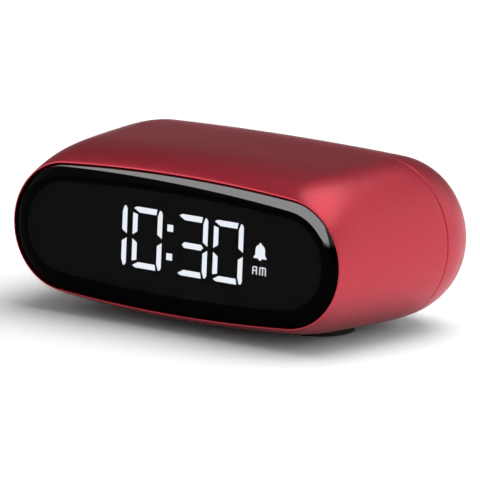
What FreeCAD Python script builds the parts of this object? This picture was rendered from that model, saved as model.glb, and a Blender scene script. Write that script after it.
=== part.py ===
import FreeCAD
import Part
import math
import os

from FreeCAD import Vector

# A compact LED alarm clock: an oval moulded case with a tinted lens over a four digit display.
# Pieces are drawn from the middle of the lens, in millimetres: X to the right, Y to the back, Z up.
# On export they all move together, so that the origin lies under the middle of the rubber foot.

# Case form
lens_half_w = 45.3
lens_half_h = 15.9
lens_end_share = 0.92
rim_land = 0.5
rim_bevel = 0.25
body_half_w = 50.0
body_half_h = 19.64
body_end_share = 0.97
case_depth = 54.6
wide_at = 40.7
tall_at = 23.4
flare_w = 1.38
flare_h = 4.6
back_half_w = 28.8
back_half_h = 3.5
shoulder_w = 23.8
shoulder_h = 27.0
shoulder_power_w = 2.77
shoulder_power_h = 2.96
body_rise = 0.57
back_drop = 0.76
face_tilt = 1.8
back_trim = 0.6
wall = 2.0

# Bands that the case is drawn in, as shares of each moulding's depth, and the facets of its inside
front_bands = (0.0, 0.06, 0.14, 0.25, 0.4, 0.66, 1.0)
rear_bands = (0.0, 0.3, 0.52, 0.68, 0.8, 0.89, 0.96, 1.0)
front_inner_bands = (0.0, 0.15, 0.4, 0.7, 1.0)
rear_inner_bands = (0.0, 0.3, 0.55, 0.76, 0.91, 1.0)
end_facets = 8
flat_facets = 4

# Seam between the two mouldings
seam_y = 35.9
seam_gap = 0.25
lip_length = 3.0
lip_wall = 1.0
lip_gap = 0.15
lip_root = 2.5
catch_x = 20.0
catch_w = 7.0
catch_long = 1.2
catch_in = 0.8
catch_rise = 0.4
catch_gap = 0.3
lip_floor_gap = 0.3

# Lens and its seat
lens_gap = 0.15
lens_proud = 0.6
lens_window = 2.4
lens_skirt_w = 3.0
lens_skirt = 3.6
lens_edge_round = 2.6
lens_edge_steps = 3
gasket_thick = 0.5
gasket_w = 1.6
ledge_w = 3.0
ledge_thick = 1.5

# Display
display_gap = 0.2
reflector_w = 54.0
reflector_h = 19.0
reflector_depth = 7.0
digit_half_w = 4.13
digit_half_h = 6.98
digit_stroke = 1.32
digit_pitch = 9.86
hour_gap = 12.73
colon_x = -2.76
display_drop = 0.02
pipe_depth = 3.0
colon_dot_w = 1.65
colon_dot_h = 1.57
colon_dot_rise = 3.27
sign_x = 22.33
bell_z = 1.46
bell_h = 3.4
bell_w = 3.8
bell_waist_share = 0.7
bell_skirt_share = 0.25
bell_dome_share = 0.55
bell_knob_r = 0.35
bell_clapper_r = 0.45
am_z = -3.0
am_w = 3.9
am_h = 2.1
led_w = 1.1
led_h = 0.7
led_thick = 0.5

# Cuts of the digit bars, in strokes: the slant of an end, the tip of the top bar, the shoulder
# of a right bar, and where the left bars and the middle bar stop
bar_slant = 0.35
tip_in = 0.15
tip_drop = 0.33
top_in = 0.8
top_short = 1.15
side_drop = 1.2
side_peak_in = 0.62
side_peak_drop = 0.13
side_end_in = 0.29
side_end_drop = 0.62
left_drop = 1.1
middle_in = 0.88

# Circuit boards and the posts that they rest on
board_thick = 1.6
display_board_w = 82.0
display_board_h = 25.0
display_board_corner = 5.0
display_post_x = 36.0
display_post_z = 8.0
control_board_w = 71.0
control_board_h = 17.0
control_board_corner = 1.5
control_post_x = 34.2
control_post_z = 6.8
post_side = 2.4

# Control panel on the back
panel_half_w = 35.0
panel_half_h = 7.5
panel_end_share = 0.9
panel_depth = 0.8
panel_wall = 2.0
pad_margin = 1.5
pad_rise = 0.3
button_x = (-5.5, 2.5, 10.5, 18.5)
button_names = ("time_button", "alarm_button", "minus_button", "plus_button")
button_r = 2.6
button_proud = 0.6
flange_side = 6.4
flange_thick = 1.0
button_travel = 0.3
plunger_side = 3.0
plunger_reach = 1.2
plunger_show = 0.8
running_gap = 0.08
tact_side = 6.0
tact_height = 3.5
slide_x = -15.5
slide_travel = 2.0
knob_w = 3.0
knob_h = 2.8
knob_proud = 0.5
knob_rib = 0.3
knob_foot_w = 2.0
knob_foot_h = 1.6
slide_body_w = 8.6
slide_body_h = 4.4
slide_body_depth = 3.6
knob_foot_reach = 1.0
knob_end_gap = 0.1
knob_clear = 0.3
sounder_x = -27.0
sounder_r = 6.0
sounder_ring = 0.6
sounder_ring_side = 11.4
sounder_ring_w = 1.5
sound_slots = 5
sound_slot_w = 0.9
sound_slot_pitch = 1.8
sound_slot_h = 7.0
usb_x = 28.5
usb_w = 8.94
usb_h = 3.26
usb_wall = 0.3
usb_round = 1.5
usb_cavity = 6.0
usb_gap = 0.23
usb_tongue_w = 6.7
usb_tongue_h = 0.7
usb_tongue = 4.6

# Small parts on the boards
controller_side = 7.0
controller_height = 1.4
controller_x = -12.0
controller_z = -3.0
driver_w = 10.0
driver_h = 4.0
driver_height = 1.5
driver_x = -17.0
crystal_w = 8.0
crystal_h = 3.8
crystal_height = 2.6
crystal_x = 2.0
crystal_z = -4.0
crystal_corner = 1.2
socket_w = 14.0
socket_h = 4.0
socket_height = 2.5
ribbon_w = 11.0
ribbon_thick = 0.4
ribbon_z = 8.5
ribbon_end_z = 5.0
ribbon_straight = 7.0
ribbon_bend = 9.0

# Battery
battery_w = 48.0
battery_h = 7.0
battery_round = 1.5
battery_behind = 3.4
lead_room = 5.0
tape_thick = 0.5
tape_w = 6.0
tape_x = (-17.0, 17.0)
cradle_gap = 0.4
cradle_wall = 1.2
cradle_rise = 4.0
cradle_front = 16.0
cradle_back = 23.0
lead_w = 2.4
lead_thick = 0.9
lead_bend = 2.0
plug_w = 6.0
plug_h = 4.0
plug_height = 4.5
plug_in = 5.0
plug_z = -2.0

# Touch pad under the top
touch_half_w = 17.0
touch_front = 16.0
touch_back = 32.0
foil_thick = 0.3
touch_tab_x = -10.0
touch_tab_w = 3.0
touch_tab_y = 28.0
touch_tab_h = 3.2
touch_lead_thick = 0.3
touch_lead_end_z = 7.0
touch_lead_bend = 3.0

# Rubber foot
foot_half_w = 31.0
foot_half_d = 10.4
foot_end_share = 0.88
foot_y = 24.4
foot_recess = 0.9
foot_proud = 0.8
foot_gap = 0.1
foot_floor = 2.4
foot_pad_margin = 1.4

# Places worked out from the sizes above
ledge_y = lens_skirt - lens_proud + gasket_thick
ledge_back = ledge_y + ledge_thick
display_y = lens_window - lens_proud + display_gap
display_board_y = display_y + reflector_depth
display_board_back = display_board_y + board_thick
panel_y = case_depth - back_trim - panel_depth
panel_inner_y = panel_y - panel_wall
tact_top_y = panel_inner_y - flange_thick - plunger_show
control_board_y = tact_top_y - tact_height
control_board_front = control_board_y - board_thick
shell_bottom = body_rise - body_half_h
foot_top = shell_bottom + foot_recess
foot_bottom = shell_bottom - foot_proud
floor_top = foot_top + foot_floor
battery_y = display_board_back + battery_behind
plug_y = control_board_front - plug_height
battery_back = plug_y - lead_room
plug_x = battery_w / 2 - plug_in
battery_z = floor_top + tape_thick
lip_reach = (seam_y - lip_length, seam_y + lip_root)
origin = Vector(0, foot_y, foot_bottom)
X_AXIS = Vector(1, 0, 0)
Y_AXIS = Vector(0, 1, 0)


def save(name, *solids):
    """Write one node, moved to the part's own origin."""
    shape = solids[0] if len(solids) == 1 else Part.makeCompound(list(solids))
    moved = shape.copy()
    moved.translate(origin * -1)
    moved.exportStep("parts/%s.step" % name)


def on_face(shape):
    """Lean a piece of the display side back with the face of the clock."""
    leant = shape.copy()
    leant.rotate(Vector(0, 0, 0), X_AXIS, -face_tilt)
    return leant


def box(x0, x1, y0, y1, z0, z1):
    """A block between two corners."""
    return Part.makeBox(x1 - x0, y1 - y0, z1 - z0, Vector(x0, y0, z0))


def rod(x, z, radius, y0, y1):
    """A round bar along the depth."""
    return Part.makeCylinder(radius, y1 - y0, Vector(x, y0, z), Y_AXIS)


def oval_wire(half_w, half_h, end_r):
    """Four tangent arcs in the plane across the depth, around the middle."""
    flat_r = ((half_w - end_r) ** 2 + half_h ** 2 - end_r ** 2) / (2 * (half_h - end_r))
    join_x = half_w - end_r + end_r * (half_w - end_r) / (flat_r - end_r)
    join_z = end_r * (flat_r - half_h) / (flat_r - end_r)
    ring = [
        (join_x, -join_z), (half_w, 0), (join_x, join_z), (0, half_h),
        (-join_x, join_z), (-half_w, 0), (-join_x, -join_z), (0, -half_h),
    ]
    points = [Vector(x, 0, z) for x, z in ring]
    arcs = []
    for i in range(0, 8, 2):
        arcs.append(Part.Arc(points[i], points[i + 1], points[(i + 2) % 8]).toShape())
    return Part.Wire(arcs)


def oval_prism(half_w, half_h, end_r, y0, y1):
    """An oval plate across the depth."""
    face = Part.Face(oval_wire(half_w, half_h, end_r))
    face.translate(Vector(0, y0, 0))
    return face.extrude(Vector(0, y1 - y0, 0))


def opening_wire(inset, y):
    """The outline of the lens opening at a depth, drawn in by an inset."""
    end_r = lens_end_share * lens_half_h - inset
    wire = oval_wire(lens_half_w - inset, lens_half_h - inset, end_r)
    wire.translate(Vector(0, y, 0))
    return wire


def opening_oval(inset, y0, y1):
    """A plate with the outline of the lens opening, drawn in by an inset."""
    return Part.Face(opening_wire(inset, y0)).extrude(Vector(0, y1 - y0, 0))


def panel_oval(y0, y1):
    """A plate with the outline of the control panel."""
    end_r = panel_end_share * panel_half_h
    return oval_prism(panel_half_w, panel_half_h, end_r, y0, y1)


def foot_oval(margin, z0, z1):
    """A level plate with the outline of the rubber foot, grown by a margin."""
    end_r = foot_end_share * foot_half_d
    pad = oval_prism(foot_half_w + margin, foot_half_d + margin, end_r + margin, 0, z1 - z0)
    pad.rotate(Vector(0, 0, 0), X_AXIS, 90)
    pad.translate(Vector(0, foot_y, z0))
    return pad


def plate(width, height, y0, y1, x=0.0, z=0.0):
    """A rectangular plate across the depth around a middle."""
    return box(x - width / 2, x + width / 2, y0, y1, z - height / 2, z + height / 2)


def cut_plate(width, height, corner, y0, y1):
    """A rectangular plate across the depth with its corners cut off."""
    w, h = width / 2, height / 2
    right = [(w, corner - h), (w, h - corner), (w - corner, h)]
    left = [(-x, z) for x, z in reversed(right)]
    bottom = [(corner - w, -h), (w - corner, -h)]
    return outline_prism(right + left + bottom, y0, y1)


def rounded_plate(width, height, corner, y0, y1, x=0.0, z=0.0):
    """A rectangular plate across the depth with round corners."""
    block = plate(width, height, y0, y1, x, z)
    corners = [e for e in block.Edges if abs(e.tangentAt(e.FirstParameter).y) > 0.9]
    return block.makeFillet(corner, corners)


def outline_prism(points, y0, y1):
    """A plate across the depth with straight sides through the points."""
    corners = [Vector(x, y0, z) for x, z in points]
    face = Part.Face(Part.makePolygon(corners + corners[:1]))
    return face.extrude(Vector(0, y1 - y0, 0))


def fuse(first, *others):
    """Join solids into one and clear the seams between them."""
    return first.multiFuse(list(others)).removeSplitter()


def shoulder(share, power):
    """How far the rear shoulder has closed, from 0 where it starts to 1 at the back."""
    share = min(max(share, 0.0), 1.0)
    return 1 - (1 - share ** power) ** (1 / power)


def case_section(y, inset):
    """The case's cross-section at a depth, drawn in by an inset, as a wire."""
    open_w = max(1 - y / wide_at, 0.0) ** flare_w
    open_h = max(1 - y / tall_at, 0.0) ** flare_h
    half_w = body_half_w - (body_half_w - lens_half_w - rim_land) * open_w - inset
    half_h = body_half_h - (body_half_h - lens_half_h - rim_land) * open_h - inset
    to_back = case_depth - inset - y
    close_w = shoulder(1 - to_back / (shoulder_w - inset), shoulder_power_w)
    close_h = shoulder(1 - to_back / (shoulder_h - inset), shoulder_power_h)
    half_w -= (body_half_w - inset - back_half_w) * close_w
    half_h -= (body_half_h - inset - back_half_h) * close_h
    middle = body_rise * (1 - open_h) - (body_rise + back_drop) * close_h
    end_share = lens_end_share + (body_end_share - lens_end_share) * min(y / wide_at, 1.0)
    wire = oval_wire(half_w, half_h, end_share * half_h)
    wire.translate(Vector(0, 0, middle))
    wire.rotate(Vector(0, 0, 0), X_AXIS, -face_tilt * (1 - y / case_depth))
    wire.translate(Vector(0, y, 0))
    return wire


def spread(start, end, shares):
    """Depths between two ends, from their shares of the way."""
    return [start + share * (end - start) for share in shares]


def banded(wires):
    """A solid with straight bands between wires."""
    return Part.makeLoft(wires, True, True)


def faceted(wire):
    """An oval wire with flat facets in place of its arcs."""
    corners = []
    for arc, facets in zip(wire.Edges, (end_facets, flat_facets, end_facets, flat_facets)):
        corners += arc.discretize(Number=facets + 1)[:-1]
    return Part.makePolygon(corners + corners[:1])


def inner_form(inset, depths):
    """The form of a space inside the case, drawn in by an inset, through some depths."""
    return banded([faceted(case_section(y, inset)) for y in depths])


def front_space(inset):
    """The space inside the front moulding, from the ledge of the lens seat to the seam."""
    before_lip = spread(ledge_back, seam_y - lip_length, front_inner_bands)
    return inner_form(inset, [*before_lip, seam_y])


def post_places(post_x, post_z):
    """The four corners that a board rests on."""
    return [(x, z) for x in (-post_x, post_x) for z in (-post_z, post_z)]


def bent_path(points, radius):
    """A wire of straight runs joined by tangent arcs."""
    edges = []
    start = points[0]
    for before, corner, after in zip(points, points[1:], points[2:]):
        back = (before - corner).normalize()
        ahead = (after - corner).normalize()
        half_turn = (math.pi - back.getAngle(ahead)) / 2
        cut = radius * math.tan(half_turn)
        centre_way = (back + ahead).normalize()
        middle = corner + centre_way * (radius / math.cos(half_turn) - radius)
        edges.append(Part.LineSegment(start, corner + back * cut).toShape())
        edges.append(Part.Arc(corner + back * cut, middle, corner + ahead * cut).toShape())
        start = corner + ahead * cut
    edges.append(Part.LineSegment(start, points[-1]).toShape())
    return Part.Wire(edges)


def strip(points, width, thick, bend):
    """A flat cable that starts straight back and bends only up and down."""
    half_w, half_t = width / 2, thick / 2
    corners = [(-half_w, -half_t), (half_w, -half_t), (half_w, half_t), (-half_w, half_t)]
    ring = [points[0] + Vector(x, 0, z) for x, z in corners]
    profile = Part.makePolygon(ring + ring[:1])
    return bent_path(points, bend).makePipeShell([profile], True, False)


def floor_block(margin):
    """The thick floor over the foot, grown by a margin, down to the bottom of the case."""
    half_w = foot_half_w + foot_pad_margin + margin
    half_d = foot_half_d + foot_pad_margin + margin
    return box(-half_w, half_w, foot_y - half_d, foot_y + half_d, foot_bottom, floor_top + margin)


def catches(inset, margin):
    """The four catches of the lip, two on top and one at each end, grown by a margin."""
    y0 = seam_y - lip_length + catch_in - margin
    y1 = seam_y - lip_length + catch_in + catch_long + margin
    half = catch_w / 2 + margin
    top = body_half_h + body_rise
    blocks = [box(x - half, x + half, y0, y1, 0, top) for x in (-catch_x, catch_x)]
    blocks.append(box(0, body_half_w, y0, y1, -half, half))
    blocks.append(box(-body_half_w, 0, y0, y1, -half, half))
    form = inner_form(inset, lip_reach)
    return [block.common(form) for block in blocks]


def front_shell(cavity):
    """The front moulding: lens seat, display posts, battery cradle, foot recess and pockets."""
    depths = spread(rim_bevel, seam_y, front_bands)
    outer = banded([case_section(0, rim_bevel)] + [case_section(y, 0) for y in depths])
    shell = outer.cut(cavity).cut(on_face(opening_oval(0, -lens_edge_round, ledge_y)))
    throat = Part.Face(faceted(opening_wire(ledge_w, ledge_y - 1)))
    shell = shell.cut(on_face(throat.extrude(Vector(0, ledge_thick + 2, 0))))
    parts = []
    for x, z in post_places(display_post_x, display_post_z):
        parts.append(on_face(plate(post_side, post_side, ledge_y, display_board_y, x, z)))
    for side in (-1, 1):
        inner = side * (battery_w / 2 + cradle_gap)
        far = inner + side * cradle_wall
        parts.append(box(min(inner, far), max(inner, far), cradle_front, cradle_back,
                         foot_top, floor_top + cradle_rise))
    parts.append(floor_block(0).common(outer))
    shell = fuse(shell, *parts).cut(foot_oval(0, foot_bottom, foot_top))
    for pocket in catches(wall - catch_rise - catch_gap, catch_gap):
        shell = shell.cut(pocket)
    return shell


def lipped_form(outer):
    """The rear moulding's form with the lip that snaps into the front one, and its throat."""
    lip = inner_form(wall + lip_gap, lip_reach).cut(floor_block(lip_floor_gap))
    lipped = fuse(outer, lip, *catches(wall - catch_rise, 0))
    return lipped.cut(inner_form(wall + lip_gap + lip_wall, lip_reach))


def sound_openings(y0, y1):
    """The upright slots over the sounder."""
    slots = []
    for i in range(sound_slots):
        x = sounder_x + (i - (sound_slots - 1) / 2) * sound_slot_pitch
        slots.append(box(x - sound_slot_w / 2, x + sound_slot_w / 2, y0, y1,
                         -sound_slot_h / 2, sound_slot_h / 2))
    return slots


def usb_form(margin, y0, y1):
    """The round-ended form of the charging socket, grown by a margin."""
    return rounded_plate(usb_w + 2 * margin, usb_h + 2 * margin, usb_round + margin, y0, y1, usb_x)


def rear_cover():
    """The rear moulding: the lip, the control panel with its openings, and the board posts."""
    depths = spread(seam_y + seam_gap, case_depth - back_trim, rear_bands)
    outer = banded([case_section(y, 0) for y in depths])
    inner_depths = spread(seam_y + lip_root, panel_inner_y + pad_rise, rear_inner_bands)
    cover = lipped_form(outer).cut(inner_form(wall, inner_depths))
    pad = plate(2 * (panel_half_w + pad_margin), 2 * (panel_half_h + pad_margin),
                panel_inner_y, panel_y)
    parts = [pad.common(outer)]
    for x, z in post_places(control_post_x, control_post_z):
        parts.append(plate(post_side, post_side, control_board_y, panel_y, x, z))
    cover = fuse(cover, *parts)
    cover = cover.cut(panel_oval(panel_y, 2 * case_depth))
    through = (panel_inner_y - 1, panel_y + 1)
    cuts = [rod(x, 0, button_r + running_gap, *through) for x in button_x]
    cuts += sound_openings(*through)
    cuts.append(usb_form(usb_gap, *through))
    reach = (knob_w + slide_travel) / 2 + knob_end_gap
    half_h = knob_h / 2 + running_gap
    cuts.append(box(slide_x - reach, slide_x + reach, *through, -half_h, half_h))
    for piece in cuts:
        cover = cover.cut(piece)
    return cover


def front_lens():
    """The tinted lens: a flat window with a rolled front edge and a skirt behind."""
    back = lens_skirt - lens_proud
    wires = [opening_wire(lens_gap, back)]
    for i in range(lens_edge_steps + 1):
        turn = math.pi / 2 * i / lens_edge_steps
        inset = lens_gap + lens_edge_round * (1 - math.cos(turn))
        wires.append(opening_wire(inset, lens_edge_round * (1 - math.sin(turn)) - lens_proud))
    pocket = opening_oval(lens_gap + lens_skirt_w, lens_window - lens_proud, back + 1)
    return on_face(banded(wires).cut(pocket))


def lens_gasket():
    """The foam ring between the lens skirt and the ledge of the shell."""
    ring = opening_oval(lens_gap, ledge_y - gasket_thick, ledge_y)
    hole = Part.Face(faceted(opening_wire(lens_gap + gasket_w, ledge_y - 1)))
    return on_face(ring.cut(hole.extrude(Vector(0, 2, 0))))


def segment_outlines():
    """The seven bars of a digit around its own middle, in the order a to g."""
    w, h, s = digit_half_w, digit_half_h, digit_stroke
    slant = (1 + bar_slant) * s
    end = bar_slant * s
    top = [(-w + tip_in * s, h - tip_drop * s), (-w + top_in * s, h), (w - top_short * s, h),
           (w - slant, h - s), (-w + slant, h - s)]
    right = [(w - s, h - side_drop * s), (w - side_peak_in * s, h - side_peak_drop * s),
             (w - side_end_in * s, h - side_peak_drop * s), (w, h - side_end_drop * s),
             (w, end), (w - s, end + side_end_drop * s)]
    left = [(-w, h - left_drop * s), (-w + s, h - slant), (-w + s, end + side_end_drop * s),
            (-w, end)]
    bar = [(-w + middle_in * s, 0), (-w + slant, s / 2), (w - slant, s / 2),
           (w - middle_in * s, 0), (w - slant, -s / 2), (-w + slant, -s / 2)]
    turned = [[(x, -z) for x, z in outline] for outline in (right, top, left)]
    return [top, right, *turned, left, bar]


def digit_places():
    """The middles of the four digits along X."""
    near = hour_gap / 2
    far = near + digit_pitch
    return [colon_x - far, colon_x - near, colon_x + near, colon_x + far]


def digit_bars(middle_x, y0, y1):
    """The seven bars of one digit as solids."""
    bars = []
    for outline in segment_outlines():
        points = [(middle_x + x, z - display_drop) for x, z in outline]
        bars.append(outline_prism(points, y0, y1))
    return bars


def colon_bars(y0, y1):
    """The two dots between hours and minutes."""
    return [plate(colon_dot_w, colon_dot_h, y0, y1, colon_x,
                  side * colon_dot_rise - display_drop) for side in (1, -1)]


def bell_bar(y0, y1):
    """The bell sign: a dome with a flared skirt, a knob on top and a clapper below."""
    half = bell_w / 2
    waist = half * bell_waist_share
    base = bell_z - bell_h / 2
    skirt_z = base + bell_h * bell_skirt_share
    dome_z = base + bell_h * bell_dome_share
    outline = [(-half, base), (-waist, skirt_z), (-waist, dome_z), (0, dome_z + waist),
               (waist, dome_z), (waist, skirt_z), (half, base)]
    spots = [Vector(sign_x + x, y0, z) for x, z in outline]
    edges = [Part.makeLine(spots[0], spots[1]), Part.makeLine(spots[1], spots[2]),
             Part.Arc(spots[2], spots[3], spots[4]).toShape(),
             Part.makeLine(spots[4], spots[5]), Part.makeLine(spots[5], spots[6]),
             Part.makeLine(spots[6], spots[0])]
    dome = Part.Face(Part.Wire(edges)).extrude(Vector(0, y1 - y0, 0))
    knob = rod(sign_x, dome_z + waist, bell_knob_r, y0, y1)
    clapper = rod(sign_x, base, bell_clapper_r, y0, y1)
    return fuse(dome, knob, clapper)


def am_bar(y0, y1):
    """The morning sign's window."""
    return plate(am_w, am_h, y0, y1, sign_x, am_z)


def display_parts():
    """The reflector with its windows, the light pipes that fill them, and the LED chips."""
    pipe_back = display_y + pipe_depth
    span = (display_y - 1, display_board_y + 1)
    block = plate(reflector_w, reflector_h, display_y, display_board_y, 0, -display_drop)
    windows = [bar for x in digit_places() for bar in digit_bars(x, *span)]
    windows += colon_bars(*span) + [bell_bar(*span), am_bar(*span)]
    leds = []
    for window in windows:
        block = block.cut(window)
        middle = window.BoundBox.Center
        leds.append(on_face(plate(led_w, led_h, display_board_y - led_thick, display_board_y,
                                  middle.x, middle.z)))
    save("display_reflector", on_face(block))
    save("display_leds", *leds)
    for number, x in enumerate(digit_places(), 1):
        save("digit_%d" % number, *[on_face(bar) for bar in digit_bars(x, display_y, pipe_back)])
    save("colon_dots", *[on_face(dot) for dot in colon_bars(display_y, pipe_back)])
    save("bell_light", on_face(bell_bar(display_y, pipe_back)))
    save("am_light", on_face(am_bar(display_y, pipe_back)))


def display_board_parts():
    """The board behind the display and its driver."""
    save("display_board", on_face(cut_plate(display_board_w, display_board_h, display_board_corner,
                                            display_board_y, display_board_back)))
    save("driver_chip", on_face(plate(driver_w, driver_h, display_board_back,
                                      display_board_back + driver_height, driver_x)))


def ribbon_parts():
    """The flat cable between the boards and the two sockets that hold its ends."""
    front_y = display_board_back + ribbon_z * math.sin(math.radians(face_tilt))
    save("display_socket", on_face(plate(socket_w, socket_h, display_board_back,
                                         display_board_back + socket_height, 0, ribbon_z)))
    back_y = control_board_front - socket_height
    save("control_socket", plate(socket_w, socket_h, back_y, control_board_front,
                                 0, ribbon_end_z))
    start = Vector(0, front_y + socket_height + ribbon_thick, ribbon_z)
    end = Vector(0, back_y, ribbon_end_z)
    points = [start, start + Y_AXIS * ribbon_straight, end - Y_AXIS * ribbon_straight, end]
    save("ribbon_cable", strip(points, ribbon_w, ribbon_thick, ribbon_bend))


def control_board_parts():
    """The board behind the control panel, its controller and its clock crystal."""
    save("control_board", cut_plate(control_board_w, control_board_h, control_board_corner,
                                    control_board_front, control_board_y))
    save("controller_chip", plate(controller_side, controller_side,
                                  control_board_front - controller_height, control_board_front,
                                  controller_x, controller_z))
    crystal = cut_plate(crystal_w, crystal_h, crystal_corner,
                        control_board_front - crystal_height, control_board_front)
    crystal.translate(Vector(crystal_x, 0, crystal_z))
    save("clock_crystal", crystal)


def button_parts():
    """The four push buttons and the switches that they press."""
    flange_y = panel_inner_y - flange_thick
    switches = []
    for name, x in zip(button_names, button_x):
        cap = rod(x, 0, button_r, panel_inner_y, panel_y + button_proud)
        flange = plate(flange_side, flange_side, flange_y, panel_inner_y, x)
        plunger = plate(plunger_side, plunger_side, flange_y - plunger_reach, flange_y, x)
        save(name, fuse(cap, flange, plunger))
        body = plate(tact_side, tact_side, control_board_y, tact_top_y, x)
        well = flange_y - plunger_reach - 2 * button_travel
        hole = plunger_side + 2 * running_gap
        switches.append(body.cut(plate(hole, hole, well, tact_top_y + 1, x)))
    save("tact_switches", *switches)


def slide_parts():
    """The alarm on and off switch and its sliding knob."""
    top = control_board_y + slide_body_depth
    body = plate(slide_body_w, slide_body_h, control_board_y, top, slide_x)
    reach = (knob_foot_w + slide_travel) / 2 + knob_end_gap
    half_h = knob_foot_h / 2 + running_gap
    slot_y = top - knob_foot_reach - knob_clear
    save("slide_switch", body.cut(box(slide_x - reach, slide_x + reach, slot_y, top + 1,
                                      -half_h, half_h)))
    x = slide_x - slide_travel / 2
    knob_top = panel_y + knob_proud
    knob = fuse(plate(knob_w, knob_h, top + knob_clear, knob_top, x),
                plate(knob_foot_w, knob_foot_h, top - knob_foot_reach, top + knob_clear, x))
    for step in (-1, 0, 1):
        groove_x = x + step * 2 * knob_rib
        knob = knob.cut(box(groove_x - knob_rib / 2, groove_x + knob_rib / 2,
                            knob_top - knob_rib, knob_top + 1, -knob_h, knob_h))
    save("slide_knob", knob)


def sounder_parts():
    """The sounder on the control board and the foam frame that seals it to the panel."""
    top = panel_inner_y - sounder_ring
    save("sounder", rod(sounder_x, 0, sounder_r, control_board_y, top))
    side = sounder_ring_side
    hole = side - 2 * sounder_ring_w
    frame = plate(side, side, top, panel_inner_y, sounder_x)
    save("sounder_gasket", frame.cut(plate(hole, hole, top - 1, panel_inner_y + 1, sounder_x)))


def usb_socket():
    """The charging socket: a round-ended shell on the board with a tongue inside."""
    shell = usb_form(0, control_board_y, panel_y)
    floor = panel_y - usb_cavity
    shell = shell.cut(usb_form(-usb_wall, floor, panel_y + 1))
    tongue = plate(usb_tongue_w, usb_tongue_h, floor, floor + usb_tongue, usb_x)
    return fuse(shell, tongue)


def battery_parts():
    """The flat cell taped to the floor, its plug on the control board and its twin lead."""
    cell = box(-battery_w / 2, battery_w / 2, battery_y, battery_back,
               battery_z, battery_z + battery_h)
    long_edges = [e for e in cell.Edges if abs(e.tangentAt(e.FirstParameter).x) > 0.9]
    save("battery_cell", cell.makeFillet(battery_round, long_edges))
    tape_back = seam_y - lip_length - lip_floor_gap
    tapes = [box(x - tape_w / 2, x + tape_w / 2, battery_y + battery_round, tape_back,
                 floor_top, battery_z) for x in tape_x]
    save("battery_tape", *tapes)
    save("battery_plug", plate(plug_w, plug_h, plug_y, control_board_front, plug_x, plug_z))
    middle_y = (battery_back + plug_y) / 2
    start_z = battery_z + battery_h / 2
    points = [Vector(plug_x, battery_back, start_z), Vector(plug_x, middle_y, start_z),
              Vector(plug_x, middle_y, plug_z), Vector(plug_x, plug_y, plug_z)]
    save("battery_leads", strip(points, lead_w, lead_thick, lead_bend))


def touch_parts(cavity):
    """The touch foil under the top of the case, and its lead to the control board."""
    inside = front_space(wall + foil_thick)
    patch = box(-touch_half_w, touch_half_w, touch_front, touch_back, 0, body_half_h)
    foil = cavity.cut(inside).common(patch)
    under = body_half_h + body_rise - wall - foil_thick
    tab_end = touch_tab_y + touch_tab_w
    tab = box(touch_tab_x - touch_tab_w / 2, touch_tab_x + touch_tab_w / 2, touch_tab_y, tab_end,
              under - touch_tab_h, body_half_h)
    save("touch_foil", fuse(foil, tab.common(inside)))
    z = under - touch_tab_h + touch_lead_thick
    straight = (control_board_front - tab_end) / 3
    points = [Vector(touch_tab_x, tab_end, z),
              Vector(touch_tab_x, tab_end + straight, z),
              Vector(touch_tab_x, control_board_front - straight, touch_lead_end_z),
              Vector(touch_tab_x, control_board_front, touch_lead_end_z)]
    save("touch_lead", strip(points, touch_tab_w, touch_lead_thick, touch_lead_bend))


def main():
    os.makedirs("parts", exist_ok=True)
    cavity = front_space(wall)
    save("front_shell", front_shell(cavity))
    save("rear_cover", rear_cover())
    save("front_lens", front_lens())
    save("lens_gasket", lens_gasket())
    display_parts()
    display_board_parts()
    ribbon_parts()
    control_board_parts()
    button_parts()
    slide_parts()
    sounder_parts()
    save("usb_socket", usb_socket())
    battery_parts()
    touch_parts(cavity)
    save("rubber_foot", foot_oval(-foot_gap, foot_bottom, foot_top))


main()
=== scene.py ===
import logging
import math
from dataclasses import dataclass
from enum import Enum

import bmesh
import bpy
from mathutils import Matrix, Vector


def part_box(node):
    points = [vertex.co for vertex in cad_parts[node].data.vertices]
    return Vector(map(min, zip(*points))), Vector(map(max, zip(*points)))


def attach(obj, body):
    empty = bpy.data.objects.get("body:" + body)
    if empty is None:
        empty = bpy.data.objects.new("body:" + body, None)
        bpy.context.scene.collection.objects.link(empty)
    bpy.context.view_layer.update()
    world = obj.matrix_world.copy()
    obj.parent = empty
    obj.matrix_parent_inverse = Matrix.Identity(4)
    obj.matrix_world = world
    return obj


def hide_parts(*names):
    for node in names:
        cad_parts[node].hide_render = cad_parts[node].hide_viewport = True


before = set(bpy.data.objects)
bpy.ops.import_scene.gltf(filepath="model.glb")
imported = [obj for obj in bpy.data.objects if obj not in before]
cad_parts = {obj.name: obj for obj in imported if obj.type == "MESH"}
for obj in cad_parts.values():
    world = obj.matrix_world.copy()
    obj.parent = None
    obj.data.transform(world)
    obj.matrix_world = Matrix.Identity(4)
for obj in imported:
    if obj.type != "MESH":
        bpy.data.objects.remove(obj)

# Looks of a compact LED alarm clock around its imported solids.
# Sizes are in millimetres from the middle of the lens, X right, Y back, Z up, as the drawing has them.

log = logging.getLogger("clock")
MM = 0.001
DRAWING_ORIGIN = Vector((0.0, 24.4, -19.87))
SHARP_ANGLE = math.radians(32)
JUST_OVER_ONE = 1.0001
Colour = tuple[float, float, float]
Place = tuple[float, float, float]
Point = tuple[float, float]
Tree = bpy.types.NodeTree
Node = bpy.types.Node
Socket = bpy.types.NodeSocket

# Sockets of a Mix node, whose levels and colours go by the same names.
MIX_SHARE = 0
MIX_LEVEL_UNDER = 2
MIX_LEVEL_OVER = 3
MIX_COLOUR_UNDER = 6
MIX_COLOUR_OVER = 7
MIXED_LEVEL = 0
MIXED_COLOUR = 2

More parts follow.
